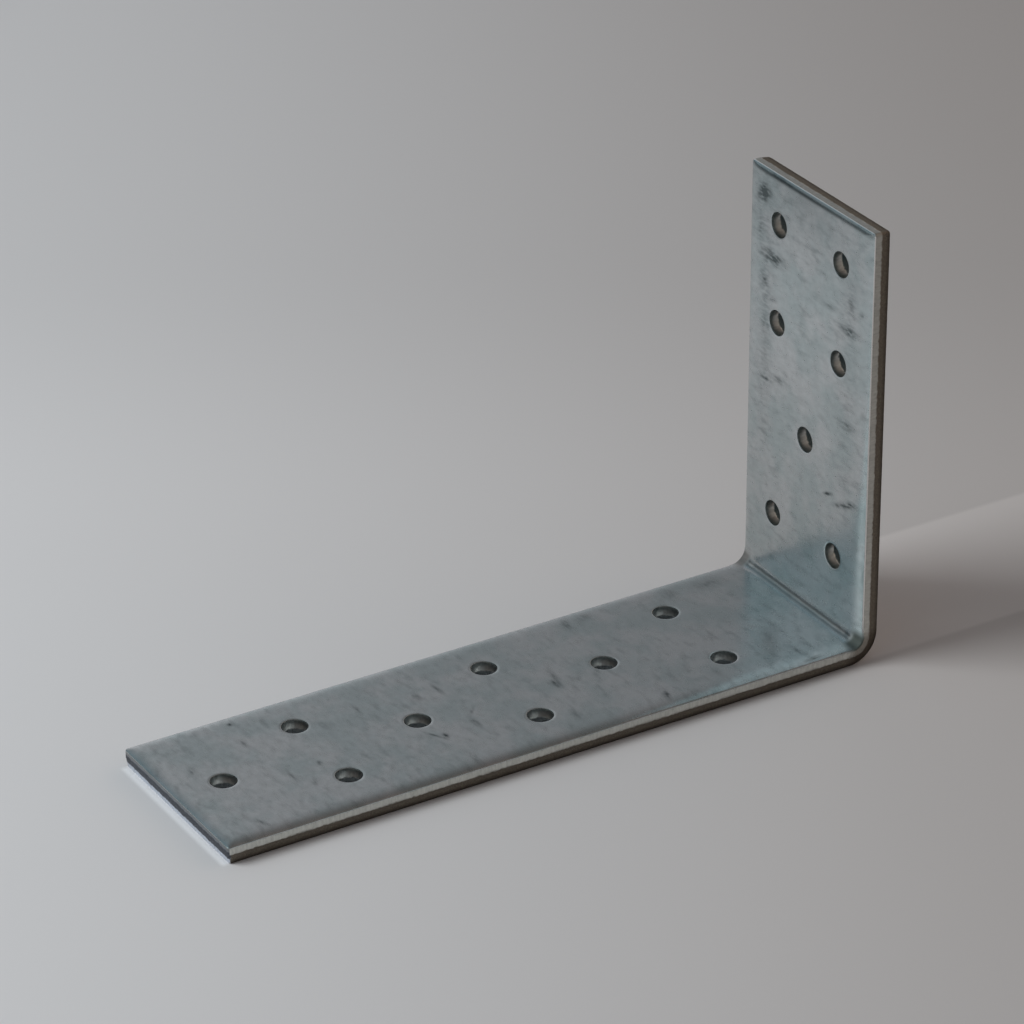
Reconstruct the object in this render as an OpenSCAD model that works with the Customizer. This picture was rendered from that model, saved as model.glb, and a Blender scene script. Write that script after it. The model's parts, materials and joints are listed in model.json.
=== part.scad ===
// Corner brace: one strip of zinc-plated steel, sheared, punched and folded once to a right angle.
// The long leg lies along Y on its outer face, and the upright stands at the +Y end. X is across the
// strip. The origin is on the underside, at the middle of the strip's width and of the long leg.
// Shearing and punching both come from the inner side, so each cut edge is rolled over at the inner
// face, smooth below that, and torn and drawn in at the outer face.

/* [Strip] */
// Width of the strip
strip_w = 39.5; // [34:0.5:70]
// Thickness of the sheet
sheet_t = 4; // [3:0.1:6]

/* [Legs] */
// Length of the long leg, from its free end to the upright's outer face
long_leg = 137.7; // [90:0.1:220]
// Height of the upright, from the long leg's underside to its top edge
upright_h = 88.3; // [60:0.1:200]

/* [Fold] */
// Radius inside the fold
fold_r = 2; // [1:0.1:4]
// How far the squeezed metal swells out of each side inside the fold
swell = 0.4; // [0.1:0.1:0.8]
// Radius of the swollen patch on the side
swell_reach = 3; // [2:0.1:3.4]

/* [Holes] */
// Diameter of a nail hole
hole_d = 5; // [3:0.1:8]
// Distance from one row of holes to the next, along a leg
row_pitch = 20; // [14:1:30]
// Distance between the two holes of a row that has two
hole_gauge = 20; // [12:1:26]
// Distance from a leg's free end to its first row
end_margin = 9.7; // [7:0.1:16]
// Least distance from the outer face of one leg to the nearest row on the other
fold_clear = 18; // [14:0.5:30]
// Radius of the rim that the punch rolls over
rim_r = 0.2; // [0.1:0.05:0.5]
// How much wider a hole's radius is where it tears out at the outer face
hole_flare = 0.25; // [0.1:0.05:0.5]

/* [Sheared edges] */
// Width of the rolled-over strip along a cut edge
roll_w = 2; // [1:0.1:3]
// Depth of that roll at the cut
roll_d = 0.45; // [0.2:0.05:0.6]
// Height of the torn band, from the outer face
torn_h = 2; // [1:0.1:2.2]
// How far the torn band draws in at the outer face
torn_draft = 0.25; // [0.1:0.05:0.4]

/* [Hidden] */

ROUND_FN = 96;
OVER = 1; // how far a cutter runs past what it cuts
fold_out = fold_r + sheet_t;
heel_y = long_leg / 2;
ROLL_LIFT = 0.02; // the rolled edge's arc peaks this much above the face, and so crosses it cleanly
roll_rise = roll_d + ROLL_LIFT;
roll_r = (roll_w ^ 2 + roll_rise ^ 2) / (2 * roll_rise);
swell_r = (swell_reach ^ 2 + swell ^ 2) / (2 * swell);
zinc = [0.47, 0.50, 0.52];

// Rows that fit on a leg of this outer length
function row_count(leg) = floor((leg - end_margin - fold_clear) / row_pitch) + 1;

// Places of a row's holes across the strip: rows alternate from a single hole at the free end, and
// a leg may start with a pair instead
function across(row, starts_with_pair) =
    row % 2 == 0 && !(row == 0 && starts_with_pair) ? [0] : [-hole_gauge / 2, hole_gauge / 2];

// One cut edge, which stands at x = edge with the sheet to its left and the outer face on y = 0
module cut_edge(edge) {
    difference() {
        polygon([
            [edge - roll_w, 0],
            [edge - torn_draft, 0],
            [edge, torn_h],
            [edge, sheet_t],
            [edge - roll_w, sheet_t],
        ]);
        translate([edge - roll_w, sheet_t + ROLL_LIFT - roll_r])
            difference() {
                square(roll_r + OVER);
                circle(roll_r, $fn = ROUND_FN);
            }
    }
}

// Section across the strip, with both of its cut edges
module strip_section() {
    translate([-(strip_w / 2 - roll_w), 0])
        square([strip_w - 2 * roll_w, sheet_t]);
    cut_edge(strip_w / 2);
    mirror([1, 0])
        cut_edge(strip_w / 2);
}

// Section along a leg, from the fold to its cut end
module leg_section(length) {
    square([length - roll_w, sheet_t]);
    cut_edge(length);
}

// Cutter for one punched hole, along +Z from the outer face at z = 0
module punched_hole() {
    hole_r = hole_d / 2;
    rotate_extrude($fn = ROUND_FN) {
        translate([0, -OVER])
            square([hole_r, sheet_t + 2 * OVER]);
        polygon([
            [0, -OVER],
            [hole_r + hole_flare, -OVER],
            [hole_r + hole_flare, 0],
            [hole_r, torn_h],
            [0, torn_h],
        ]);
        difference() {
            translate([0, sheet_t - rim_r])
                square([hole_r + rim_r, rim_r + OVER]);
            translate([hole_r + rim_r, sheet_t - rim_r])
                circle(rim_r, $fn = ROUND_FN);
        }
    }
}

// A flat leg along +Y from the fold, lying on its outer face, with its rows counted from the cut end
module leg(outer_length, starts_with_pair) {
    length = outer_length - fold_out;
    difference() {
        intersection() {
            translate([0, length, 0])
                rotate([90, 0, 0])
                    linear_extrude(length)
                        strip_section();
            translate([-strip_w / 2, 0, 0])
                rotate([90, 0, 90])
                    linear_extrude(strip_w)
                        leg_section(length);
        }
        for (row = [0:row_count(outer_length) - 1])
            for (x = across(row, starts_with_pair))
                translate([x, length - end_margin - row * row_pitch, 0])
                    punched_hole();
    }
}

// The fold, about the X axis, from the long leg's end at -Z round to the upright's at +Y
module fold() {
    rotate([0, 90, 0])
        rotate_extrude(angle = 90, $fn = ROUND_FN)
            translate([fold_out, 0])
                rotate(90)
                    strip_section();
}

// Side view of the sheet round the fold, about the fold's centre: its middle layers only, so that the
// swell's own hidden faces stay inside the metal
module fold_side() {
    reach = 2 * fold_out;
    inner_r = fold_r + roll_d / 2;
    outer_r = fold_out - torn_draft;
    difference() {
        union() {
            circle(outer_r, $fn = ROUND_FN);
            translate([-reach, -outer_r])
                square([reach, reach + outer_r]);
            square([outer_r, reach]);
        }
        circle(inner_r, $fn = ROUND_FN);
        translate([-reach - OVER, -inner_r])
            square([reach + OVER, reach + inner_r + OVER]);
        translate([-OVER, 0])
            square([inner_r + OVER, reach + OVER]);
    }
}

// Metal that the fold squeezes out of the side at +X: a shallow dome over the inside of the fold
module fold_swell() {
    middle = (fold_r + roll_d) / sqrt(2);
    intersection() {
        translate([strip_w / 2 + swell - swell_r, middle, -middle])
            sphere(swell_r, $fn = ROUND_FN);
        translate([strip_w / 2 - roll_w / 2, 0, 0])
            rotate([90, 0, 90])
                linear_extrude(roll_w / 2 + swell + OVER)
                    fold_side();
    }
}

module bracket() {
    color(zinc) {
        translate([0, heel_y - fold_out, 0])
            rotate([0, 0, 180])
                leg(long_leg, false);
        translate([0, heel_y, fold_out])
            rotate([90, 0, 0])
                leg(upright_h, true);
        translate([0, heel_y - fold_out, fold_out]) {
            fold();
            fold_swell();
            mirror([1, 0, 0])
                fold_swell();
        }
    }
}

bracket();
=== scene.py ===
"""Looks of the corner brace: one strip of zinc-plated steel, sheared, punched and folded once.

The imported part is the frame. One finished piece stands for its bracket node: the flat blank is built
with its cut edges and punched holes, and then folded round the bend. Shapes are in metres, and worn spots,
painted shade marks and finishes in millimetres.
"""

import json
import logging
import math
from collections.abc import Callable
from dataclasses import dataclass
from enum import IntEnum
from functools import partial

import bmesh
import bpy
from mathutils import Matrix, Vector, noise

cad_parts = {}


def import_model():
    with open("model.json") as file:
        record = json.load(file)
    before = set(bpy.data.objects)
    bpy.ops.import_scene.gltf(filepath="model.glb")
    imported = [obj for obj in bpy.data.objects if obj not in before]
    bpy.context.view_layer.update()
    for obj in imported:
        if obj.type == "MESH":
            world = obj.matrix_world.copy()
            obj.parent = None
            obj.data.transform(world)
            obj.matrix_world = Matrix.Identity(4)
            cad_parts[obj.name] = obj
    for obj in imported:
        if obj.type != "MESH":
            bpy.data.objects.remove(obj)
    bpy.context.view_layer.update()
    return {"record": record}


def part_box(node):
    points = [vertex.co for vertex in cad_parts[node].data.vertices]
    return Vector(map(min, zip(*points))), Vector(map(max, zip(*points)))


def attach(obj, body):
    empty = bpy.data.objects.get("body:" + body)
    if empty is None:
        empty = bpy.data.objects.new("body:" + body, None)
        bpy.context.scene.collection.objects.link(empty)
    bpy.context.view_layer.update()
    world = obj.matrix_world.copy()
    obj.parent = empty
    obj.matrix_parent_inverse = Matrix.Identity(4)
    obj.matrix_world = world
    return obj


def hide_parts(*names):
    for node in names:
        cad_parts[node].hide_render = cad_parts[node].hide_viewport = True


LOG = logging.getLogger("corner_brace")
MM = 0.001

Socket = bpy.types.NodeSocket
SocketMap = dict[str | int, object]
NodeMaker = Callable[..., Socket]
Colour = tuple[float, float, float, float]
Bands = tuple[tuple[float, float], ...]

# Numbers of sockets: a map range's bounds and what it gives at each, and the colours of a colour mix.
START, STOP, FIRST, LAST = 1, 2, 3, 4
UNDER, OVER = 6, 7

# Settings that many nodes share.
SOFT = {"interpolation_type": "SMOOTHSTEP"}
TIMES = {"operation": "MULTIPLY"}
SCALED = {"operation": "SCALE"}
BLEND = {"data_type": "RGBA", "out": 2}
TINT = {**BLEND, "blend_type": "MULTIPLY"}


def linear(hex_colour: str) -> Colour:
    """Turns an sRGB hex colour into linear values.

    Args:
        hex_colour: Six hex digits with a leading hash.

    Returns:
        Red, green, blue and an alpha of 1.
    """
    channels = [int(hex_colour[i : i + 2], 16) / 255 for i in (1, 3, 5)]
    return (*(c / 12.92 if c <= 0.04045 else ((c + 0.055) / 1.055) ** 2.4 for c in channels), 1.0)


def plug(node: bpy.types.Node, sockets: SocketMap) -> None:
    """Sets a node's inputs.

    Args:
        node: The node.
        sockets: A value or a source socket for each input, by name or by number.
    """
    for key, value in sockets.items():
        if isinstance(value, Socket):
            node.id_data.links.new(value, node.inputs[key])
        else:
            node.inputs[key].default_value = value


def add_node(
    tree: bpy.types.NodeTree,
    kind: str,
    sockets: SocketMap | None = None,
    out: int | str = 0,
    **settings: object,
) -> Socket:
    """Adds a node with its settings and its inputs.

    Args:
        tree: Tree that gets the node.
        kind: Type of the node, without the ShaderNode that it starts with.
        sockets: A value or a source socket for each input, by name or by number.
        out: Name or number of the output to return.
        settings: Properties of the node.

    Returns:
        The node's output.
    """
    made = tree.nodes.new("ShaderNode" + kind)
    for name, value in settings.items():
        setattr(made, name, value)
    plug(made, sockets or {})
    return made.outputs[out]


def new_material(name: str) -> tuple[bpy.types.Material, bpy.types.Node, NodeMaker]:
    """Starts a material.

    Args:
        name: Name of the finish.

    Returns:
        The material, its shader, and what adds a node to it.
    """
    made = bpy.data.materials.new(name)
    made.use_nodes = True
    return made, made.node_tree.nodes["Principled BSDF"], partial(add_node, made.node_tree)


def smooth(value: float, low: float, high: float) -> float:
    """Returns a soft step from 0 at low to 1 at high, which may be the smaller of the two."""
    share = min(max((value - low) / (high - low), 0.0), 1.0)
    return share * share * (3 - 2 * share)


class Slot(IntEnum):
    """Material slots of the bracket."""

    ZINC = 0
    SHEARED = 1
    CROPPED = 2
    PUNCHED = 3


@dataclass(frozen=True)
class EdgeStep:
    """One line that runs along a cut edge.

    Attributes:
        inset: Distance inwards from the cut.
        height: Height above the outer face.
        slot: Finish of the band that leads to this line.
        rough: How far torn grain pushes the line inwards.
        wander: How far the line strays up and down.
    """

    inset: float
    height: float
    slot: Slot
    rough: float = 0.0
    wander: float = 0.0


@dataclass(frozen=True)
class Hole:
    """One punched hole: its centre across and along the blank."""

    across: float
    along: float


@dataclass(frozen=True)
class StripSizes:
    """Sizes of the folded strip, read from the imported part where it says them.

    Attributes:
        half_width: Half the width of the strip.
        thickness: Thickness of the sheet.
        free_end: Y of the long leg's free end.
        heel: Y of the upright's outer face.
        top: Z of the upright's top end.
        hole_r: Radius of a nail hole.
        fold_r: Radius inside the fold.
        neutral: Depth of the layer that the fold doesn't stretch, as a share of the thickness.
        swell: How far squeezed metal stands out of each side inside the fold.
        swell_reach: How far it reaches from the middle of the fold.
        roll_w: Width of the rolled-over strip along the sides and the free end.
        roll_power: How fast that roll steepens towards the cut.
        top_roll_w: Width of the roll at the upright's top.
        top_roll_power: How fast it steepens there.
        roll_d: Depth of the roll at the cut.
        torn_h: Height of the torn band, from the outer face.
        torn_draft: How far the torn band draws in at the outer face.
        rim_r: Radius of a hole's rim.
        hole_flare: How much wider a hole's radius is at the outer face.
    """

    half_width: float
    thickness: float
    free_end: float
    heel: float
    top: float
    hole_r: float
    fold_r: float = 2.0 * MM
    neutral: float = 0.4
    swell: float = 0.4 * MM
    swell_reach: float = 3 * MM
    roll_w: float = 3.8 * MM
    roll_power: int = 3
    top_roll_w: float = 3.0 * MM
    top_roll_power: int = 8
    roll_d: float = 0.48 * MM
    torn_h: float = 2.0 * MM
    torn_draft: float = 0.25 * MM
    rim_r: float = 0.08 * MM
    hole_flare: float = 0.25 * MM

    @property
    def fold_out(self) -> float:
        """Radius outside the fold."""
        return self.fold_r + self.thickness

    @property
    def arc(self) -> float:
        """Length of blank that the fold uses up."""
        return math.pi / 2 * (self.fold_r + self.neutral * self.thickness)

    @property
    def start(self) -> float:
        """Place of the free end along the blank, counted from where the fold begins."""
        return self.free_end - (self.heel - self.fold_out)

    @property
    def end(self) -> float:
        """Place of the upright's top end along the blank."""
        return self.arc + self.top - self.fold_out

    @property
    def half_length(self) -> float:
        """Half the length of the blank."""
        return (self.end - self.start) / 2

    @classmethod
    def from_frame(cls, record: dict) -> "StripSizes":
        """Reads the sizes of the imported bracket.

        Args:
            record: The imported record.

        Returns:
            The sizes.
        """
        low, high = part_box("bracket")
        mounts = {m["name"]: m for m in record["mounts"]}
        pairs = mounts["long_leg_outer_pairs"]
        return cls(
            half_width=high.x - cls.swell,
            thickness=pairs["pos_m"][2] - low.z,
            free_end=low.y,
            heel=high.y,
            top=high.z,
            hole_r=pairs["dims"]["hole_r_mm"] * MM,
        )

    def holes(self, record: dict) -> list[Hole]:
        """Places the punched holes on the flat blank.

        Args:
            record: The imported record, whose mounts say where the holes are.

        Returns:
            The holes, in order along the blank.
        """
        found = []
        for mount in record["mounts"]:
            if mount["kind"] not in ("bolt_pattern", "bore"):
                continue
            x, y, z = mount["pos_m"]
            on_long_leg = mount["axis"][2] > 0.5
            middle = y - (self.heel - self.fold_out) if on_long_leg else self.arc + z - self.fold_out
            half_x = mount["dims"].get("spacing_x_mm", 0.0) * MM / 2
            half_y = mount["dims"].get("spacing_y_mm", 0.0) * MM / 2
            for dx in {-half_x, half_x}:
                for dy in {-half_y, half_y}:
                    found.append(Hole(x + dx, middle + dy))
        return sorted(found, key=lambda hole: (hole.along, hole.across))

    def turn(self, along: float) -> float:
        """Returns the angle that the fold has turned the strip by, at a place along the blank."""
        return math.pi / 2 * min(max(along / self.arc, 0.0), 1.0)

    def folded(self, across: float, along: float, height: float) -> Vector:
        """Carries a point of the flat blank to its place on the folded strip.

        Args:
            across: Place across the strip.
            along: Place along the blank, from where the fold begins.
            height: Height above the outer face.

        Returns:
            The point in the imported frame.
        """
        turn = self.turn(along)
        radius = self.fold_out - height
        before, after = min(along, 0.0), max(along - self.arc, 0.0)
        return Vector((
            across,
            self.heel - self.fold_out + before + radius * math.sin(turn),
            self.fold_out - radius * math.cos(turn) + after,
        ))

    def inward(self, along: float) -> Vector:
        """Returns the direction that the inner face looks in, at a place along the blank."""
        turn = self.turn(along)
        return Vector((0.0, -math.sin(turn), math.cos(turn)))


@dataclass(frozen=True)
class BracketMesh:
    """Mesh of the strip: the flat blank with its cut edges and holes, then folded.

    Attributes:
        sizes: Sizes of the strip.
        holes: Punched holes on the blank.
        pitch: Distance between points along a cut edge.
        hole_segments: Points round a hole.
        fold_step: Distance between the lines that the fold turns on.
        fold_margin: How far finer lines go on to each side of the fold.
        edge_strip: Width of flat sheet between the outline's first line and its roll.
        hole_strip: The same between a hole's first line and its rim.
        corner: Radius of the outline's corners.
        lift: How far the squeezed inner face rises at each side of the fold.
        grain: Lumps of torn grain to the millimetre.
        stray: Waves of a straying line to the millimetre.
        sharp: Angle in degrees past which an edge between faces stays sharp.
    """

    sizes: StripSizes
    holes: list[Hole]
    pitch: float = 0.4 * MM
    hole_segments: int = 80
    fold_step: float = 0.15 * MM
    fold_margin: float = 6 * MM
    edge_strip: float = 0.6 * MM
    hole_strip: float = 0.5 * MM
    corner: float = 0.45 * MM
    lift: float = 0.12 * MM
    grain: float = 2.3
    stray: float = 0.9
    sharp: float = 32.0

    def edge_steps(self) -> list[EdgeStep]:
        """Lists the lines along the outline's cut.

        Returns:
            The lines, from the inner face round to the outer face.
        """
        s = self.sizes
        lip = s.thickness - s.roll_d
        steps = [EdgeStep(s.roll_w, s.thickness, Slot.ZINC)]
        for share in (0.16, 0.3, 0.42, 0.53, 0.63, 0.72, 0.8, 0.87, 0.94):
            height = s.thickness - s.roll_d * share**s.roll_power
            steps.append(EdgeStep(s.roll_w * (1 - share), height, Slot.ZINC))
        # The lip turns over, and then the wall that the blade wiped goes straight down.
        for inset, rise, slot in (
            (0.12, 0.04, Slot.ZINC), (0.05, -0.03, Slot.ZINC), (0.01, -0.12, Slot.ZINC),
            (0.0, -0.2, Slot.ZINC), (0.0, -0.3, Slot.SHEARED), (0.0, -0.6, Slot.SHEARED),
            (0.0, -1.1, Slot.SHEARED),
        ):
            steps.append(EdgeStep(inset * MM, lip + rise * MM, slot))
        # The torn band starts with a small ledge and draws in towards the outer face.
        steps += [
            EdgeStep(0.0, s.torn_h, Slot.SHEARED, wander=0.12 * MM),
            EdgeStep(0.05 * MM, s.torn_h - 0.1 * MM, Slot.SHEARED, 0.03 * MM, 0.12 * MM),
        ]
        for share in (0.25, 0.45, 0.65, 0.82):
            inset, height = s.torn_draft * share, s.torn_h * (1 - share)
            steps.append(EdgeStep(inset, height, Slot.SHEARED, 0.07 * MM, 0.05 * MM))
        steps += [
            EdgeStep(s.torn_draft + 0.05 * MM, 0.14 * MM, Slot.SHEARED, 0.05 * MM),
            EdgeStep(s.torn_draft + 0.22 * MM, 0.0, Slot.SHEARED, 0.05 * MM),
            EdgeStep(s.torn_draft + 0.9 * MM, 0.0, Slot.ZINC),
        ]
        return steps

    def hole_steps(self) -> list[EdgeStep]:
        """Lists the lines round a hole.

        Returns:
            The lines, whose insets are how far outside the hole's radius they lie.
        """
        s = self.sizes
        steps = []
        for share in (0.0, 0.5, 1.0):
            turn = share * math.pi / 2
            inset, drop = s.rim_r * (1 - math.sin(turn)), s.rim_r * (1 - math.cos(turn))
            steps.append(EdgeStep(inset, s.thickness - drop, Slot.PUNCHED if share else Slot.ZINC))
        steps += [
            EdgeStep(0.0, s.thickness - 0.7 * MM, Slot.PUNCHED),
            EdgeStep(0.0, s.thickness - 1.4 * MM, Slot.PUNCHED),
            EdgeStep(0.0, s.torn_h + 0.14 * MM, Slot.PUNCHED, wander=0.1 * MM),
            EdgeStep(0.0, s.torn_h, Slot.PUNCHED, wander=0.1 * MM),
            EdgeStep(0.04 * MM, s.torn_h - 0.1 * MM, Slot.PUNCHED, 0.02 * MM, 0.1 * MM),
        ]
        for share in (0.3, 0.6, 0.85):
            steps.append(EdgeStep(s.hole_flare * share, s.torn_h * (1 - share), Slot.PUNCHED, 0.05 * MM))
        steps += [
            EdgeStep(s.hole_flare + 0.05 * MM, 0.0, Slot.PUNCHED),
            EdgeStep(s.hole_flare + 0.6 * MM, 0.0, Slot.ZINC),
        ]
        return steps

    def grow(
        self, bm: bmesh.types.BMesh, ring: list[bmesh.types.BMEdge], slot: Slot
    ) -> list[bmesh.types.BMEdge]:
        """Extrudes a closed ring of edges in place.

        Args:
            bm: Mesh to work on.
            ring: Edges of the ring.
            slot: Finish of the new band.

        Returns:
            Edges of the new ring.
        """
        made = bmesh.ops.extrude_edge_only(bm, edges=ring)["geom"]
        fresh = {v for v in made if isinstance(v, bmesh.types.BMVert)}
        for face in (f for f in made if isinstance(f, bmesh.types.BMFace)):
            face.material_index = slot
        return [e for e in made if isinstance(e, bmesh.types.BMEdge) and set(e.verts) <= fresh]

    def roughen(self, verts: set[bmesh.types.BMVert], step: EdgeStep, hole: int | None = None) -> None:
        """Pushes the points of one line about, as torn grain does.

        Args:
            verts: Points of the line.
            step: The line's own amounts.
            hole: Number of the hole that the line goes round, which gives each its own grain.
        """
        s = self.sizes
        seed = Vector((3.1, 7.7, 1.9 + 5.3 * (hole or 0)))
        for vert in verts:
            spot = vert.co / MM + seed
            if step.rough:
                push = (0.5 + 0.5 * noise.noise(spot * self.grain)) * step.rough
                side = Vector((vert.co.x, vert.co.y, 0.0))
                if hole is None:
                    near_side = s.half_width - abs(side.x) < s.half_length - abs(side.y)
                    side = Vector((-side.x, 0.0, 0.0)) if near_side else Vector((0.0, -side.y, 0.0))
                vert.co += side.normalized() * push
            if step.wander:
                vert.co.z += noise.noise(spot * self.stray + seed) * step.wander

    def tighten_top(self, verts: set[bmesh.types.BMVert]) -> None:
        """Rolls the upright's end of the blank over more sharply than its sides.

        Args:
            verts: Points of one line of the rolled edge.
        """
        s = self.sizes
        for vert in (v for v in verts if v.co.y > 0):
            side = max(0.0, 1 - (s.half_width - abs(vert.co.x)) / s.roll_w) ** s.roll_power
            end = max(0.0, 1 - (s.half_length - vert.co.y) / s.top_roll_w) ** s.top_roll_power
            vert.co.z = s.thickness - s.roll_d * max(side, end)

    def outline(self, bm: bmesh.types.BMesh) -> None:
        """Builds the cut edges all round the blank, centred on the origin.

        Args:
            bm: Mesh to work on.
        """
        s = self.sizes
        inset = s.roll_w + self.edge_strip
        grid = bmesh.ops.create_grid(bm, x_segments=1, y_segments=1, size=1.0)["verts"]
        half = Vector((s.half_width - inset, s.half_length - inset, 1.0))
        bmesh.ops.scale(bm, vec=half, verts=grid)
        bmesh.ops.translate(bm, vec=(0, 0, s.thickness), verts=grid)
        bmesh.ops.bevel(
            bm, geom=grid, offset=self.corner, segments=4, profile=0.5, affect="VERTICES", material=-1
        )
        bmesh.ops.delete(bm, geom=bm.faces[:], context="FACES_ONLY")
        for edge in bm.edges[:]:
            cuts = round(edge.calc_length() / self.pitch) - 1
            if cuts > 0:
                bmesh.ops.subdivide_edges(bm, edges=[edge], cuts=cuts)
        ring = bm.edges[:]
        lines = []
        for step in self.edge_steps():
            ring = self.grow(bm, ring, step.slot)
            verts = {v for e in ring for v in e.verts}
            lines.append((verts, step))
            if inset != step.inset:
                now = Vector((s.half_width - step.inset, s.half_length - step.inset, 1.0))
                was = Vector((s.half_width - inset, s.half_length - inset, 1.0))
                factor = Vector((now.x / was.x, now.y / was.y, 1.0))
                bmesh.ops.scale(bm, vec=factor, verts=list(verts))
                inset = step.inset
            for vert in verts:
                vert.co.z = step.height
            if step.height > s.thickness - s.roll_d:
                self.tighten_top(verts)
        for verts, step in lines:
            self.roughen(verts, step)

    def punch(self, bm: bmesh.types.BMesh, hole: Hole, number: int) -> None:
        """Builds the wall of one hole in its place.

        Args:
            bm: Mesh to work on.
            hole: The hole.
            number: Number of the hole.
        """
        s = self.sizes
        inset, height, lines = s.rim_r + self.hole_strip, s.thickness, []
        first = bmesh.ops.create_circle(
            bm, cap_ends=False, segments=self.hole_segments, radius=s.hole_r + inset,
            matrix=Matrix.Translation((0, 0, s.thickness)),
        )["verts"]
        ring = list(dict.fromkeys(e for v in first for e in v.link_edges))
        own = set(first)
        for step in self.hole_steps():
            ring = self.grow(bm, ring, step.slot)
            verts = {v for e in ring for v in e.verts}
            factor = (s.hole_r + step.inset) / (s.hole_r + inset)
            bmesh.ops.scale(bm, vec=(factor, factor, 1.0), verts=list(verts))
            bmesh.ops.translate(bm, vec=(0, 0, step.height - height), verts=list(verts))
            lines.append((verts, step))
            own |= verts
            inset, height = step.inset, step.height
        for verts, step in lines:
            self.roughen(verts, step, number)
        centre = hole.along - (s.start + s.end) / 2
        bmesh.ops.translate(bm, vec=(hole.across, centre, 0), verts=list(own))

    def close_faces(self, bm: bmesh.types.BMesh) -> None:
        """Fills the inner and the outer face between the outline and the holes.

        Args:
            bm: Mesh to work on.
        """
        for height, up in ((self.sizes.thickness, 1.0), (0.0, -1.0)):
            rim = [e for e in bm.edges if e.is_boundary and all(abs(v.co.z - height) < 1e-7 for v in e.verts)]
            made = bmesh.ops.triangle_fill(
                bm, use_beauty=True, use_dissolve=False, edges=rim, normal=(0, 0, up)
            )
            for face in (f for f in made["geom"] if isinstance(f, bmesh.types.BMFace)):
                face.material_index = Slot.ZINC

    def cut(self, bm: bmesh.types.BMesh, place: Vector, across: Vector, low: float, high: float) -> None:
        """Cuts a line through the blank between two places along it.

        Args:
            bm: Mesh to work on.
            place: A point of the cutting plane.
            across: Normal of the cutting plane.
            low: Where the cut region starts, along the blank.
            high: Where it ends.
        """
        faces = [f for f in bm.faces if any(low < v.co.y < high for v in f.verts)
                 or min(v.co.y for v in f.verts) < low < max(v.co.y for v in f.verts)]
        edges = dict.fromkeys(e for f in faces for e in f.edges)
        verts = dict.fromkeys(v for f in faces for v in f.verts)
        bmesh.ops.bisect_plane(
            bm, geom=[*verts, *edges, *faces], dist=1e-7, plane_co=place, plane_no=across
        )

    def prepare_fold(self, bm: bmesh.types.BMesh) -> None:
        """Cuts the lines that the fold turns on, and a few along it where its sides rise.

        Args:
            bm: Mesh to work on.
        """
        arc, margin, hair = self.sizes.arc, self.fold_margin, 0.01 * MM
        before = [-3 * MM, -1.8 * MM, -1 * MM, -0.5 * MM, -0.15 * MM]
        places = [-margin, arc + margin, *before, *(arc - place for place in before)]
        count = math.ceil(arc / self.fold_step)
        places += [arc * k / count for k in range(count + 1)]
        for place in places:
            self.cut(bm, Vector((0, place, 0)), Vector((0, 1, 0)), -margin - hair, arc + margin + hair)
        for inset in (5.0, 5.7, 6.5, 7.5):
            for side in (-1, 1):
                spot = Vector((side * (self.sizes.half_width - inset * MM), 0, 0))
                self.cut(bm, spot, Vector((1, 0, 0)), -margin + hair, arc + margin - hair)

    def fold(self, bm: bmesh.types.BMesh) -> None:
        """Folds the blank, with the metal that the fold squeezes up and out at its sides.

        Args:
            bm: Mesh to work on.
        """
        s = self.sizes
        blank = bm.verts.layers.float_vector.new("blank")
        core = s.folded(0.0, s.arc / 2, s.thickness - s.roll_d)
        for vert in bm.verts:
            across, along, height = vert.co
            vert[blank] = vert.co
            place = s.folded(across, along, height)
            inset = s.half_width - abs(across)
            # The inner face rises most about 2.5 mm from each side, over 5 mm of the blank.
            near = smooth(inset, 4.6 * MM, 2.6 * MM) * (1 - 0.7 * smooth(inset, 2.4 * MM, 0.8 * MM))
            rise = math.exp(-(((along - s.arc / 2) / (2.3 * MM)) ** 2)) * near
            place += s.inward(along) * self.lift * rise * (height / s.thickness) ** 2
            # The side swells in a shallow dome.
            away = (Vector((0, place.y, place.z)) - core).length / s.swell_reach
            out = s.swell * max(0.0, 1 - away * away) * smooth(inset, 1.6 * MM, 0.2 * MM)
            place.x += math.copysign(out, across)
            vert.co = place

    def mark_cropped_end(self, bm: bmesh.types.BMesh) -> None:
        """Gives the free end its own finish, because it was cropped from the other side.

        Args:
            bm: Mesh to work on.
        """
        s = self.sizes
        # Its faces lie within 0.6 mm of the end, and don't run along a side.
        for face in bm.faces:
            if face.material_index == Slot.SHEARED and all(v.co.y < s.start + 0.6 * MM for v in face.verts):
                across = [v.co.x for v in face.verts]
                inside = max(abs(x) for x in across) < s.half_width - 0.05 * MM
                if inside or max(across) - min(across) > 0.1 * MM:
                    face.material_index = Slot.CROPPED

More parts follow.
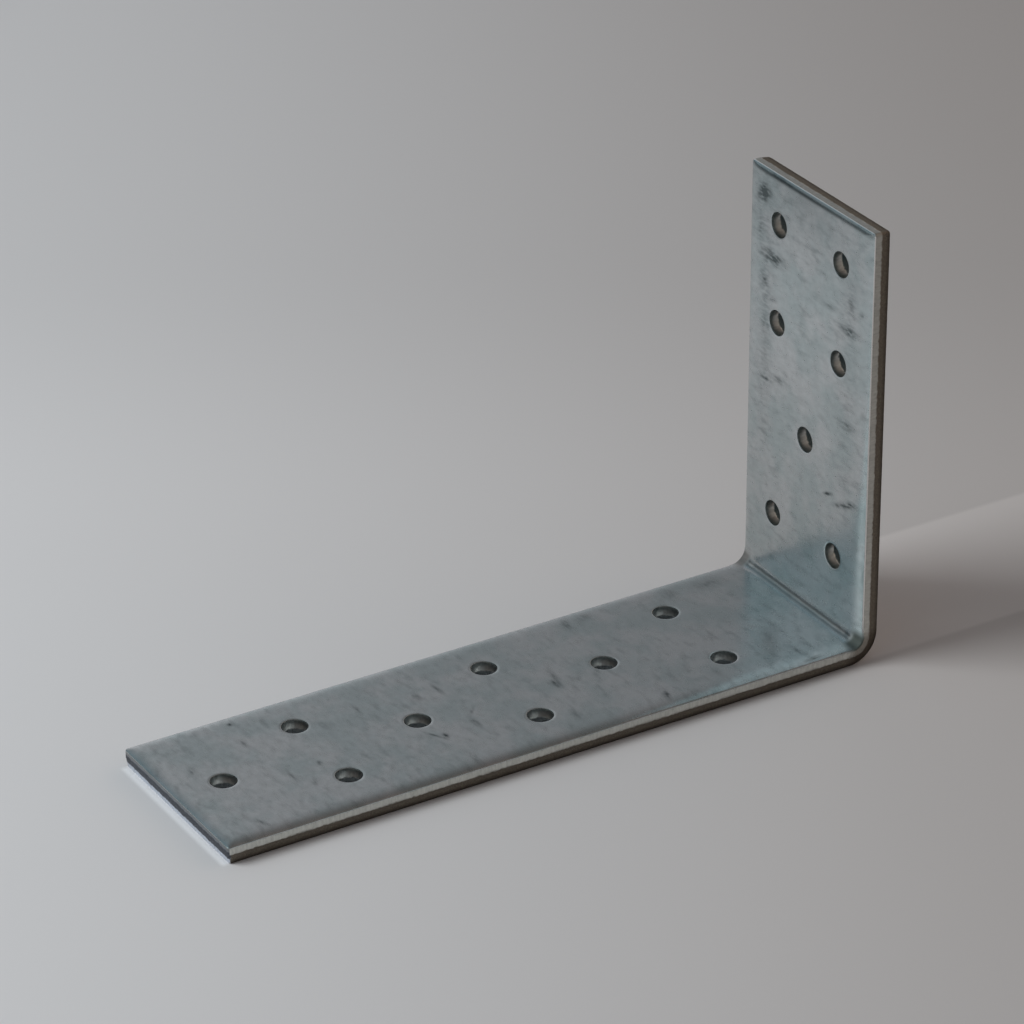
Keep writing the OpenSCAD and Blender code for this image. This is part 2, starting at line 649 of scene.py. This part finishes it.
    def build(self, name: str) -> bpy.types.Object:
        """Builds the whole strip.

        Args:
            name: Name of the piece.

        Returns:
            The piece, at the origin.
        """
        bm = bmesh.new()
        self.outline(bm)
        for number, hole in enumerate(self.holes):
            self.punch(bm, hole, number)
        self.close_faces(bm)
        middle = (self.sizes.start + self.sizes.end) / 2
        bmesh.ops.translate(bm, vec=(0, middle, 0), verts=bm.verts[:])
        self.prepare_fold(bm)
        self.mark_cropped_end(bm)
        self.fold(bm)
        bmesh.ops.recalc_face_normals(bm, faces=bm.faces[:])
        open_edges = sum(not e.is_manifold for e in bm.edges)
        for face in bm.faces:
            face.smooth = True
        mesh = bpy.data.meshes.new(name)
        bmesh.ops.triangulate(bm, faces=[f for f in bm.faces if len(f.verts) > 4])
        bm.to_mesh(mesh)
        bm.free()
        mesh.set_sharp_from_angle(angle=math.radians(self.sharp))
        piece = bpy.data.objects.new(name, mesh)
        bpy.context.scene.collection.objects.link(piece)
        LOG.info("%s: %d faces, %d open edges", name, len(mesh.polygons), open_edges)
        return piece


@dataclass(frozen=True)
class RubAndShadeMark:
    """One dark mark on the plating, in millimetres on the flat blank: a worn spot, or painted shade where it
    is even.

    Attributes:
        across: Its middle across the strip.
        along: Its middle along the blank, from where the fold begins.
        length: Its size across the strip, before it is turned.
        width: Its size along the strip, before it is turned.
        turn: Degrees that it is turned by.
        depth: How dark it is, from 0 to 1.
        even: True where grain doesn't break it up; the painted shade marks are even.
    """

    across: float
    along: float
    length: float
    width: float
    turn: float = 0.0
    depth: float = 0.5
    even: bool = False


RUB_AND_SHADE_MARKS = (
    # The upright, top down: painted shade below the top's crest and over its upper part, two darker columns,
    # then worn spots.
    RubAndShadeMark(0.0, 87.25, 90.0, 1.1, 0, 0.5, even=True),
    RubAndShadeMark(-2.0, 86.0, 64.0, 31.0, 0, 0.48, even=True),
    RubAndShadeMark(-14.0, 58.0, 7.0, 66.0, 0, 0.22),
    RubAndShadeMark(13.4, 62.0, 7.5, 50.0, 0, 0.13),
    RubAndShadeMark(-15.2, 83.0, 3.6, 4.6, -30, 0.8),
    RubAndShadeMark(-16.0, 75.5, 3.0, 7.0, 0, 0.25),
    RubAndShadeMark(-11.3, 71.0, 8.0, 3.0, 3, 0.7),
    RubAndShadeMark(-14.5, 65.5, 3.6, 3.4, -20, 0.3),
    RubAndShadeMark(-12.2, 62.6, 3.4, 1.6, 0, 0.3),
    RubAndShadeMark(13.6, 71.5, 3.0, 8.0, -6, 0.2),
    RubAndShadeMark(13.2, 66.0, 7.0, 2.4, 2, 0.5),
    RubAndShadeMark(6.2, 68.6, 7.5, 1.6, 2, 0.25),
    RubAndShadeMark(17.0, 70.8, 2.6, 1.4, 0, 0.35),
    RubAndShadeMark(-14.0, 56.8, 3.2, 1.6, 0, 0.3),
    RubAndShadeMark(-8.6, 46.8, 5.6, 2.0, 3, 0.4),
    RubAndShadeMark(-13.4, 45.4, 5.0, 1.6, 4, 0.38),
    RubAndShadeMark(13.2, 46.8, 6.0, 2.2, 2, 0.4),
    RubAndShadeMark(12.8, 35.5, 5.0, 2.6, 30, 0.2),
    RubAndShadeMark(15.3, 31.2, 3.4, 1.5, 14, 0.9),
    RubAndShadeMark(12.2, 29.8, 6.5, 1.1, 18, 0.6),
    RubAndShadeMark(7.8, 30.4, 3.4, 0.8, 20, 0.85),
    # The long leg, from the fold to its free end, which has a band of painted shade all across it.
    RubAndShadeMark(-15.0, -9.0, 4.0, 7.0, 0, 0.28),
    RubAndShadeMark(15.2, -9.0, 4.4, 1.5, 5, 0.4),
    RubAndShadeMark(-15.5, -17.5, 4.0, 3.0, 0, 0.28),
    RubAndShadeMark(15.8, -38.4, 3.6, 1.4, -16, 0.75),
    RubAndShadeMark(-15.8, -40.4, 5.0, 1.8, -8, 0.42),
    RubAndShadeMark(-16.5, -36.0, 3.4, 3.4, 0, 0.25),
    RubAndShadeMark(2.0, -53.6, 3.4, 1.1, 0, 0.75),
    RubAndShadeMark(-0.5, -52.6, 9.0, 1.6, -8, 0.3),
    RubAndShadeMark(13.5, -56.2, 5.0, 1.8, 0, 0.3),
    RubAndShadeMark(2.2, -71.8, 3.2, 1.0, -40, 0.35),
    RubAndShadeMark(6.0, -73.4, 5.0, 1.3, 2, 0.55),
    RubAndShadeMark(-7.8, -73.2, 4.8, 1.1, 4, 0.5),
    RubAndShadeMark(-7.6, -77.9, 3.2, 1.3, 2, 0.5),
    RubAndShadeMark(7.2, -80.4, 2.0, 1.5, 0, 0.75),
    RubAndShadeMark(6.2, -82.0, 5.2, 0.7, 28, 0.5),
    RubAndShadeMark(17.0, -79.8, 5.0, 1.8, 0, 0.28),
    RubAndShadeMark(-9.2, -89.4, 3.6, 1.2, 0, 0.42),
    RubAndShadeMark(-7.6, -97.5, 3.8, 2.0, 0, 0.3),
    RubAndShadeMark(3.6, -104.4, 1.8, 1.0, -15, 0.7),
    RubAndShadeMark(9.0, -108.4, 4.0, 1.1, -15, 0.3),
    RubAndShadeMark(4.6, -110.8, 4.8, 0.9, -4, 0.4),
    RubAndShadeMark(-16.6, -111.8, 1.3, 0.9, 0, 1.0),
    RubAndShadeMark(-9.6, -112.8, 3.6, 1.4, 0, 0.3),
    RubAndShadeMark(15.6, -123.0, 4.0, 1.3, 24, 0.4),
    RubAndShadeMark(-5.6, -125.4, 3.4, 1.2, -6, 0.35),
    # A band of painted shade along the free end's rolled edge.
    RubAndShadeMark(0.0, -131.7, 90.0, 3.4, 0, 0.4, even=True),
)


def on_blank(node: NodeMaker) -> Socket:
    """Returns the place on the flat blank, in millimetres: across it, along it and through it."""
    blank = node("Attribute", out="Vector", attribute_name="blank")
    return node("VectorMath", {0: blank, "Scale": 1 / MM}, **SCALED)


def in_fold(node: NodeMaker, along: Socket, arc: float, border: float = 1.4) -> Socket:
    """Marks the places that lie in the fold.

    Args:
        node: Adds a node to the finish.
        along: Place along the blank, in millimetres from where the fold begins.
        arc: Length of the fold along the blank, in millimetres.
        border: Half the width of the soft border, in millimetres.

    Returns:
        1 in the fold and 0 outside it.
    """
    off = node("Math", {0: along, 1: -arc / 2}, operation="ADD")
    off = node("Math", {0: off}, operation="ABSOLUTE")
    return node("MapRange", {0: off, START: arc / 2 + border, STOP: arc / 2 - border}, **SOFT)


@dataclass(frozen=True)
class ZincPlate:
    """Satin zinc plating on rolled steel: grey with a green-blue cast, unsoiled, with a few worn spots and
    painted light and shade.

    Attributes:
        arc: Length of the fold along the blank, in millimetres.
        base: Colour of the plating.
        pale: Colour of its paler clouds.
        rub: Colour of a worn spot and of the painted shade marks.
        wiped: Colour of the painted highlight on the crest round the upright's edge.
        squeezed_far: Painted shade tone of the squeezed metal at the fold's far end.
        squeezed_near: The same at its near end, where it is darker.
        roughness: Roughness of the satin.
        squeezed_roughness: Roughness of the squeezed metal.
        smudge: How dark a smudge gets, from 0 to 1.
        mark_reach: Distance from a rub mark's middle to where it has faded out, as a share of its sizes.
        face: Height of the inner face, in millimetres.
        crease: Tones across the fold, partly creased plating and partly painted shade, from the long leg's
            side at 0 to the upright's at 1.
    """

    arc: float
    base: str = "#BBC5C6"
    pale: str = "#CBCFD0"
    rub: str = "#565F60"
    wiped: str = "#EFEFED"
    squeezed_far: str = "#D6CCC6"
    squeezed_near: str = "#969A93"
    roughness: float = 0.24
    squeezed_roughness: float = 0.6
    smudge: float = 0.3
    mark_reach: float = 0.85
    face: float = 4.0
    crease: tuple[tuple[float, str], ...] = (
        (0.0, "#FFFFFF"), (0.2, "#FFFFFF"), (0.267, "#E4E2E0"), (0.333, "#C8C4C2"), (0.4, "#ACA8A6"),
        (0.467, "#D2D0CE"), (0.54, "#BFBEBD"), (0.6, "#8A8A89"), (0.667, "#919191"), (0.74, "#D9D9D9"),
        (0.8, "#EEEEEE"), (1.0, "#FFFFFF"),
    )

    def rubbed(self, node: NodeMaker, spot: Socket) -> Socket:
        """Adds up the smudges, the worn spots and the painted shade marks.

        Args:
            node: Adds a node to the plating.
            spot: Place on the flat blank, in millimetres.

        Returns:
            How strongly each place is darkened by wear and by painted shade.
        """
        # Faint smudges, some 4 mm across and 2 mm along the strip, gather in patches some 12 mm wide.
        soft = node("Mapping", {0: spot, "Scale": (0.26, 0.6, 1.0)})
        smudges = node("TexNoise", {"Vector": soft, "Scale": 1.0, "Detail": 2.5, "Roughness": 0.5})
        smudge = node("MapRange", {0: smudges, START: 0.48, STOP: 0.78, LAST: self.smudge}, **SOFT)
        patches = node("TexNoise", {"Vector": spot, "Scale": 0.08, "Detail": 1.0})
        patch = node("MapRange", {0: patches, START: 0.38, STOP: 0.62, FIRST: 0.35})

        # Grain 1.7 mm across and 0.6 mm along the strip breaks up the marks that aren't even, but not the
        # painted shade.
        sums: dict[bool, Socket | float] = {False: 0.0, True: node("Math", {0: smudge, 1: patch}, **TIMES)}
        for mark in RUB_AND_SHADE_MARKS:
            at = node(
                "Mapping",
                {
                    0: spot,
                    "Location": (mark.across, mark.along, self.face),
                    "Rotation": (0, 0, math.radians(mark.turn)),
                    "Scale": (mark.length * self.mark_reach, mark.width * self.mark_reach, 3.0),
                },
                vector_type="TEXTURE",
            )
            dark = node("TexGradient", {0: at}, out=1, gradient_type="QUADRATIC_SPHERE")
            sums[mark.even] = node(
                "Math", {0: dark, 1: mark.depth, 2: sums[mark.even]}, operation="MULTIPLY_ADD"
            )
        bits = node("Mapping", {0: spot, "Scale": (0.6, 1.6, 1.0)})
        grit = node("TexNoise", {"Vector": bits, "Scale": 1.0, "Detail": 3.0})
        broken = node("MapRange", {0: grit, START: 0.34, STOP: 0.62, FIRST: 0.5, LAST: 2.1})
        return node(
            "Math", {0: sums[False], 1: broken, 2: sums[True]}, operation="MULTIPLY_ADD", use_clamp=True
        )

    def creases(self, node: NodeMaker, along: Socket, mottle: Socket) -> Socket:
        """Returns the tones across the fold: dark lines that are partly creased plating and partly painted
        shade.

        Args:
            node: Adds a node to the plating.
            along: Place along the blank, in millimetres from where the fold begins.
            mottle: Mottling of the plating, which makes the lines a little uneven.

        Returns:
            The tones to multiply the plating with.
        """
        wave = node("Math", {0: mottle, 1: 0.6, 2: along}, operation="MULTIPLY_ADD")
        turn = node("MapRange", {0: wave, START: 0.3, STOP: self.arc + 0.3})
        lines = node("ValToRGB", {0: turn})
        stops = lines.node.color_ramp.elements
        stops[0].color, stops[1].color = linear(self.crease[0][1]), linear(self.crease[-1][1])
        for place, tone in self.crease[1:-1]:
            stops.new(place).color = linear(tone)
        return lines

    def material(self) -> bpy.types.Material:
        """Makes the plating.

        Returns:
            Its material.
        """
        made, shader, node = new_material("satin_zinc_plating")
        spot = on_blank(node)
        across, along, height = node("SeparateXYZ", {0: spot}).node.outputs

        # Clouds of slightly different thickness of plating, some 8 mm across.
        clouds = node("TexNoise", {"Vector": spot, "Scale": 0.13, "Detail": 3.0})
        tint = node("MapRange", {0: clouds, START: 0.35, STOP: 0.65}, **SOFT)
        plate = node("Mix", {0: tint, UNDER: linear(self.base), OVER: linear(self.pale)}, **BLEND)

        # Fine mottling, 1 to 2 mm across and stretched across the strip.
        flecks = node("Mapping", {0: spot, "Scale": (0.5, 0.75, 1.0)})
        mottle = node("TexNoise", {"Vector": flecks, "Scale": 1.0, "Detail": 3.0, "Roughness": 0.55})
        level = node("MapRange", {0: mottle, START: 0.3, STOP: 0.7, FIRST: 0.93, LAST: 1.06})
        plate = node("VectorMath", {0: plate, "Scale": level}, **SCALED)
        # Worn spots and painted shade darken the plating.
        plate = node("Mix", {0: self.rubbed(node, spot), UNDER: plate, OVER: linear(self.rub)}, **BLEND)

        # The fold's dark lines, partly creased plating and partly painted shade, fade out 2 to 3 mm from each
        # side.
        middle = node("Math", {0: across}, operation="ABSOLUTE")
        inner = node("MapRange", {0: middle, START: 17.6, STOP: 16.8}, **SOFT)
        upper = node("MapRange", {0: height, START: 3.0, STOP: 3.4})
        share = node("Math", {0: inner, 1: upper}, **TIMES)
        plate = node("Mix", {0: share, UNDER: plate, OVER: self.creases(node, along, mottle)}, **TINT)

        # The squeezed metal at the fold's ends is rough, and painted shade tones it, darker at the near end
        # than at the far end.
        outer = node("MapRange", {0: middle, START: 16.4, STOP: 18.2}, **SOFT)
        squeezed = node("Math", {0: outer, 1: in_fold(node, along, self.arc)}, **TIMES)
        end = node("MapRange", {0: across, START: -10.0, STOP: 10.0})
        dull = {UNDER: linear(self.squeezed_far), OVER: linear(self.squeezed_near)}
        plate = node("Mix", {0: squeezed, UNDER: plate, OVER: node("Mix", {0: end, **dull}, **BLEND)}, **TINT)

        # A painted highlight lightens the crest of the upright's rolled edge, from its lip up to 0.4 mm below
        # the face.
        crest = node("MapRange", {0: height, START: 3.59, STOP: 3.53})
        for place, start, stop in ((height, 2.9, 3.1), (along, self.arc, self.arc + 3.0)):
            upright = node("MapRange", {0: place, START: start, STOP: stop})
            crest = node("Math", {0: crest, 1: upright}, **TIMES)
        plate = node("Mix", {0: crest, UNDER: plate, OVER: linear(self.wiped)}, **BLEND)

        # The satin of rolled sheet: lines along the strip, drawn 0.4 mm apart so that they show.
        lines = node("Mapping", {0: spot, "Scale": (2.5, 0.08, 1.0)})
        grain = node("TexNoise", {"Vector": lines, "Scale": 1.0, "Detail": 4.0})
        relief = node("Mix", {0: 0.5, 2: grain, 3: mottle})
        satin = node(
            "MapRange",
            {0: mottle, START: 0.3, STOP: 0.7, FIRST: self.roughness + 0.05, LAST: self.roughness - 0.03},
        )
        plug(shader, {
            "Base Color": plate,
            "Roughness": node("Mix", {0: squeezed, 2: satin, 3: self.squeezed_roughness}),
            "Normal": node("Bump", {"Strength": 0.07, "Distance": 0.00005, "Height": relief}),
            "Metallic": 1.0,
        })
        return made


@dataclass(frozen=True)
class CutSteel:
    """A cut face of steel: bands that the blade wiped, tore and rolled over, by height in millimetres.

    Attributes:
        name: Name of the finish.
        burnish: Colour of the wiped band.
        torn: Colour of the torn band.
        rolled: Colour of the band under the rolled-over edge.
        high: Height above the outer face where the torn band ends.
        lip: Height where the rolled band starts.
        low: Height where the torn band starts, which lies past the outer face where it has no foot.
        fade: Height over which the rolled band's tone comes in.
        arc: Length of the fold along the blank, in millimetres.
        clean: Painted tint on the other bands of the upright.
        dull: Painted shade that darkens the torn band there.
        squeezed: Tone that darkens the cut face in the fold.
        wiped_roughness: Roughness of the wiped band.
        torn_roughness: Roughness of the torn band.
    """

    name: str
    burnish: str
    torn: str
    rolled: str
    high: float
    lip: float
    low: float = -9.0
    fade: float = 0.4
    arc: float = 5.65
    clean: str = "#FFFFFF"
    dull: str = "#FFFFFF"
    squeezed: str = "#BBB5B0"
    wiped_roughness: float = 0.3
    torn_roughness: float = 0.6

    def material(self) -> bpy.types.Material:
        """Makes the cut face's finish.

        Returns:
            Its material.
        """
        made, shader, node = new_material(self.name)
        spot = on_blank(node)
        _, along, height = node("SeparateXYZ", {0: spot}).node.outputs

        # The bands' borders are jagged by about 0.15 mm.
        jag = node("TexNoise", {"Vector": spot, "Scale": 1.3, "Detail": 4.0, "Roughness": 0.6})
        stray = node("Math", {0: jag, 1: -0.5}, operation="ADD")
        moved = node("Math", {0: stray, 1: 0.8, 2: height}, operation="MULTIPLY_ADD")
        above = node("MapRange", {0: moved, START: self.low - 0.15, STOP: self.low + 0.15}, **SOFT)
        below = node("MapRange", {0: moved, START: self.high + 0.22, STOP: self.high - 0.16}, **SOFT)
        torn = node("Math", {0: above, 1: below}, **TIMES)
        start, stop = self.lip - 0.7 * self.fade, self.lip + 0.3 * self.fade
        over = node("MapRange", {0: moved, START: start, STOP: stop}, **SOFT)

        # Wipe lines run through the thickness, 0.4 mm apart, and the torn grain is about 0.3 mm. Painted
        # shade darkens the torn band towards the outer face, where the long leg stands on the floor.
        paths = node("Mapping", {0: spot, "Scale": (2.4, 2.4, 0.7)})
        wipe = node("TexNoise", {"Vector": paths, "Scale": 1.0, "Detail": 4.0, "Roughness": 0.6})
        grit = node("TexNoise", {"Vector": spot, "Scale": 3.2, "Detail": 4.0, "Roughness": 0.7})
        wiped = node("MapRange", {0: wipe, START: 0.3, STOP: 0.7, FIRST: 0.84, LAST: 1.12})
        gritty = node("MapRange", {0: grit, START: 0.3, STOP: 0.7, FIRST: 0.7, LAST: 1.3})
        outer_face_shade = node("MapRange", {0: height, START: 0.2, STOP: 1.1, FIRST: 0.45, LAST: 1.0})
        gritty = node("Math", {0: gritty, 1: outer_face_shade}, **TIMES)
        bright = node("Mix", {0: over, UNDER: linear(self.burnish), OVER: linear(self.rolled)}, **BLEND)
        bright = node("VectorMath", {0: bright, "Scale": wiped}, **SCALED)
        dark = node("VectorMath", {0: linear(self.torn)[:3], "Scale": gritty}, **SCALED)
        colour = node("Mix", {0: torn, UNDER: bright, OVER: dark}, **BLEND)

        # Painted tint and painted shade on the upright's walls, and the tone that darkens the cut face in the
        # fold.
        upright = node("MapRange", {0: along, START: self.arc + 2.0, STOP: self.arc + 4.0})
        cast = node("Mix", {0: torn, UNDER: linear(self.clean), OVER: linear(self.dull)}, **BLEND)
        colour = node("Mix", {0: upright, UNDER: colour, OVER: cast}, **TINT)
        folded = in_fold(node, along, self.arc)
        colour = node("Mix", {0: folded, UNDER: colour, OVER: linear(self.squeezed)}, **TINT)

        relief = node("Mix", {0: torn, 2: wipe, 3: grit})
        depth = node("MapRange", {0: torn, FIRST: 0.15, LAST: 0.9})
        plug(shader, {
            "Base Color": colour,
            "Roughness": node("MapRange", {0: torn, FIRST: self.wiped_roughness, LAST: self.torn_roughness}),
            "Normal": node("Bump", {"Strength": depth, "Distance": 0.00015, "Height": relief}),
            "Metallic": 1.0,
        })
        return made


@dataclass
class Bracket:
    """The whole bracket: one folded strip and its finishes.

    Attributes:
        record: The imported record.
    """

    record: dict

    def build(self) -> bpy.types.Object:
        """Builds and dresses the strip.

        Returns:
            The finished piece.
        """
        sizes = StripSizes.from_frame(self.record)
        piece = BracketMesh(sizes, sizes.holes(self.record)).build("folded_strip")
        finishes = (
            ZincPlate(sizes.arc / MM),
            # Sheared steel: a pale wiped band above a dark torn one.
            CutSteel("sheared_steel_edge", "#C7C7C1", "#7F786E", "#A4A8A2", high=2.0, lip=3.35),
            # Cropped steel: the torn band runs along the middle, between a bluish foot and a dark lip.
            CutSteel("cropped_steel_end", "#D2D8E2", "#676A70", "#8E9192", low=1.15, high=2.7, lip=2.8),
            # Punched steel: a smooth wall painted pale to stand in for light inside the holes, with painted
            # shade darkening it up to the rim, over a darker torn foot.
            CutSteel(
                "punched_hole_wall", "#F4F3F0", "#9FA3A7", "#C0C6C6", high=2.0, lip=3.4, fade=1.3,
                clean="#F0F4F4", dull="#8A9CA0",
            ),
        )
        for finish in finishes:
            piece.data.materials.append(finish.material())
        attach(piece, "root")
        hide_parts("bracket")
        return piece


@dataclass(frozen=True)
class Studio:
    """Pale paper floor with painted light and shade, one large soft window light and dim surroundings.

    Attributes:
        paper: Colour of the paper, painted lighter towards the window light.
        paper_far: Colour of the paper painted in shade away from the window light.
        backing: Whiter paper colour painted under the bracket, as light for the holes' insides.
        wall: Colour of the wall that the camera sees beyond the floor.
        extent: Half the size of the floor.
        free_end: Place of the bracket's free end, before which a strip of light is painted on the paper.
        energy: Power of the window light, in watts.
        towards: Direction of the window light, from the bracket.
        distance: Distance of the window light.
        back_bands: Brightness of the room behind the bracket, by height from the horizon at 0 to straight
            up at 1.
        front_bands: The same on the window's side.
        lens: Focal length of the camera, in millimetres.
        stand: Place of the camera.
        azimuth: Degrees that the camera stands round from -Y towards +X.
        elevation: Degrees that it stands above the horizon.
        roll: Degrees that it is turned about its own line of sight.
    """

    paper: str = "#E6E4E7"
    paper_far: str = "#BBB3B1"
    backing: str = "#FAF9F6"
    wall: str = "#B4B3B2"
    extent: float = 6.0
    free_end: float = -68.85 * MM
    energy: float = 6.7
    towards: tuple[float, float, float] = (-0.285, -0.66, 0.70)
    distance: float = 1.15
    back_bands: Bands = (
        (0.0, 0.47), (0.15, 0.41), (0.33, 0.33), (0.5, 0.285), (0.6, 0.26), (0.68, 0.22), (0.76, 0.15),
        (0.84, 0.1), (1.0, 0.12),
    )
    front_bands: Bands = (
        (0.0, 0.14), (0.14, 0.16), (0.3, 0.195), (0.5, 0.195), (0.62, 0.34), (0.75, 0.28), (1.0, 0.12),
    )
    lens: float = 170.62
    stand: tuple[float, float, float] = (0.66025, -0.39570, 0.45400)
    azimuth: float = 58.993
    elevation: float = 28.180
    roll: float = -0.360

    def paper_tone(self, node: NodeMaker, place: Socket) -> Socket:
        """Paints light and shade onto the open paper.

        Args:
            node: Adds a node to the paper.
            place: Place on the floor.

        Returns:
            The paper's colour.
        """
        # Painted light and shade: the paper is lighter towards the window and darker away from it.
        away = node("VectorMath", {0: place, 1: (0.5, 0.86, 0.0)}, out="Value", operation="DOT_PRODUCT")
        share = node("MapRange", {0: away, START: -0.16, STOP: 0.19}, **SOFT)
        tone = node("Mix", {0: share, UNDER: linear(self.paper), OVER: linear(self.paper_far)}, **BLEND)
        # Painted shade darkens the flat paper behind the bracket and far to the left.
        for direction, near, far, level in (
            ((-0.857, 0.515, 0.0), 0.08, 0.2, 0.9),
            ((-0.7, -0.71, 0.0), 0.19, 0.29, 0.45),
        ):
            reach = node("VectorMath", {0: place, 1: direction}, out="Value", operation="DOT_PRODUCT")
            fade = node("MapRange", {0: reach, START: near, STOP: far, FIRST: 1.0, LAST: level}, **SOFT)
            tone = node("VectorMath", {0: tone, "Scale": fade}, **SCALED)
        return tone

    def paper_finish(self) -> bpy.types.Material:
        """Makes the floor's matt paper.

        Returns:
            Its material.
        """
        made, shader, node = new_material("matt_paper")
        place = node("TexCoord", out="Object")
        x, y, _ = node("SeparateXYZ", {0: place}).node.outputs
        off = node("Math", {0: x}, operation="ABSOLUTE")
        length = node("Math", {0: y}, operation="ABSOLUTE")

        # A painted strip of light, 1.6 mm wide, lies on the paper before the free end's polished foot.
        end = self.free_end
        glow = node("MapRange", {0: off, START: 19.8 * MM, STOP: 18.6 * MM})
        rise = node("MapRange", {0: y, START: end, STOP: end - 0.4 * MM, FIRST: 0.6, LAST: 1.0})
        fall = node("MapRange", {0: y, START: end - 1.6 * MM, STOP: end - 0.5 * MM}, **SOFT)
        for part in (rise, fall):
            glow = node("Math", {0: part, 1: glow}, **TIMES)
        bright = node("MapRange", {0: glow, FIRST: 1.0, LAST: 1.28})
        tone = node("VectorMath", {0: self.paper_tone(node, place), "Scale": bright}, **SCALED)

        # Painted light: the paper under the bracket, seen only through the holes, is whiter.
        inside = node("MapRange", {0: off, START: 18.8 * MM, STOP: 18.2 * MM})
        inner = node("MapRange", {0: length, START: 64.0 * MM, STOP: 63.0 * MM})
        under = node("Math", {0: inside, 1: inner}, **TIMES)
        tone = node("Mix", {0: under, UNDER: tone, OVER: linear(self.backing)}, **BLEND)
        plug(shader, {"Base Color": tone, "Roughness": 0.9, "Specular IOR Level": 0.2})
        return made

    def floor(self) -> None:
        """Lays the paper floor."""
        bm = bmesh.new()
        bmesh.ops.create_grid(bm, x_segments=1, y_segments=1, size=self.extent)
        mesh = bpy.data.meshes.new("paper_floor")
        bm.to_mesh(mesh)
        bm.free()
        sheet = bpy.data.objects.new("paper_floor", mesh)
        bpy.context.scene.collection.objects.link(sheet)
        mesh.materials.append(self.paper_finish())

    def window(self) -> None:
        """Hangs the window light, which the metal shows only as the soft glow of the room round it."""
        lamp = bpy.data.lights.new("window", "AREA")
        lamp.shape = "RECTANGLE"
        lamp.size, lamp.size_y = 0.6, 0.5
        lamp.energy = self.energy
        lamp.color = (0.93, 1.0, 1.0)
        window = bpy.data.objects.new("window", lamp)
        bpy.context.scene.collection.objects.link(window)
        window.visible_glossy = False
        towards = Vector(self.towards).normalized()
        window.location = towards * self.distance
        window.rotation_mode = "QUATERNION"
        window.rotation_quaternion = towards.to_track_quat("Z", "Y")

    @staticmethod
    def bands(node: NodeMaker, height: Socket, levels: Bands) -> Socket:
        """Grades the room's brightness by height.

        Args:
            node: Adds a node to the room.
            height: Height of the direction, from -1 to 1.
            levels: Height and brightness of each band.

        Returns:
            The brightness.
        """
        band = node("ValToRGB", {0: height})
        stops = band.node.color_ramp.elements
        for stop, (_, level) in zip(stops, (levels[0], levels[-1])):
            stop.color = (level, level, level, 1)
        for place, level in levels[1:-1]:
            stops.new(place).color = (level, level, level, 1)
        return band

    def room(self) -> None:
        """Sets the dim room: cool with a soft glow by the window, warm behind and dark overhead."""
        world = bpy.data.worlds.new("dim_room")
        bpy.context.scene.world = world
        world.use_nodes = True
        node = partial(add_node, world.node_tree)
        way = node("TexCoord", out="Generated")
        x, y, z = node("SeparateXYZ", {0: way}).node.outputs

        # The wall behind grows darker and warmer from left to right.
        away = node("MapRange", {0: y, START: 0.36, STOP: 0.475, FIRST: 1.46, LAST: 0.77})
        behind = node("VectorMath", {0: self.bands(node, z, self.back_bands), "Scale": away}, **SCALED)
        warmth = node("MapRange", {0: x, START: -0.75, STOP: 0.0}, **SOFT)
        hue = node("Mix", {0: warmth, UNDER: (0.98, 1.0, 1.04, 1), OVER: (1.25, 1.06, 0.98, 1)}, **BLEND)
        behind = node("VectorMath", {0: behind, 1: hue}, **TIMES)

        # The window's side is cooler, with a soft glow round a low direction.
        before = node("VectorMath", {0: self.bands(node, z, self.front_bands), 1: (0.87, 1.15, 1.3)}, **TIMES)
        facing = node("VectorMath", {0: way, 1: (-0.324, -0.803, 0.5)}, out="Value", operation="DOT_PRODUCT")
        glow = node("MapRange", {0: facing, START: 0.84, STOP: 0.985, LAST: 0.75})
        glow = node("VectorMath", {0: (1.04, 1.0, 0.97), "Scale": glow}, **SCALED)
        before = node("VectorMath", {0: before, 1: glow}, operation="ADD")

        turn = node("MapRange", {0: y, START: -0.2, STOP: 0.25}, **SOFT)
        tone = node("Mix", {0: turn, UNDER: before, OVER: behind}, **BLEND)
        side = node("MapRange", {0: x, START: 0.2, STOP: 0.8}, **SOFT)
        tone = node("Mix", {0: side, UNDER: tone, OVER: (0.16, 0.148, 0.14, 1)}, **BLEND)

        # A warm wall stands close behind the upright.
        warm = node("MapRange", {0: y, START: 0.58, STOP: 0.84}, **SOFT)
        warm = node("VectorMath", {0: (0.49, 0.385, 0.29), "Scale": warm}, **SCALED)
        tone = node("VectorMath", {0: tone, 1: warm}, operation="ADD")

        # Beyond the floor's edge the camera sees a plain pale wall.
        seen = node("LightPath", out="Is Camera Ray")
        tone = node("Mix", {0: seen, UNDER: tone, OVER: linear(self.wall)}, **BLEND)
        plug(world.node_tree.nodes["Background"], {"Color": tone, "Strength": 1.0})

    def camera(self) -> None:
        """Sets the camera, which looks down on the bracket from its open side."""
        data = bpy.data.cameras.new("view")
        data.sensor_width = 36.0
        data.lens = self.lens
        data.clip_start, data.clip_end = 0.05, 40.0
        view = bpy.data.objects.new("view", data)
        bpy.context.scene.collection.objects.link(view)
        azimuth, elevation = math.radians(self.azimuth), math.radians(self.elevation)
        back = Vector((
            math.sin(azimuth) * math.cos(elevation),
            -math.cos(azimuth) * math.cos(elevation),
            math.sin(elevation),
        ))
        level = back.to_track_quat("Z", "Y").to_matrix()
        rolled = level @ Matrix.Rotation(math.radians(self.roll), 3, "Z")
        view.matrix_world = Matrix.Translation(self.stand) @ rolled.to_4x4()
        bpy.context.scene.camera = view

    def build(self) -> None:
        """Sets the whole stage."""
        self.floor()
        self.window()
        self.room()
        self.camera()
        bpy.context.scene.view_settings.view_transform = "Standard"


def main() -> None:
    """Builds the bracket and its stage."""
    logging.basicConfig(level=logging.INFO, format="%(name)s: %(message)s")
    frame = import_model()
    Studio().build()
    piece = Bracket(frame["record"]).build()
    LOG.info("%s rides on root", piece.name)


if __name__ == "__main__":
    main()
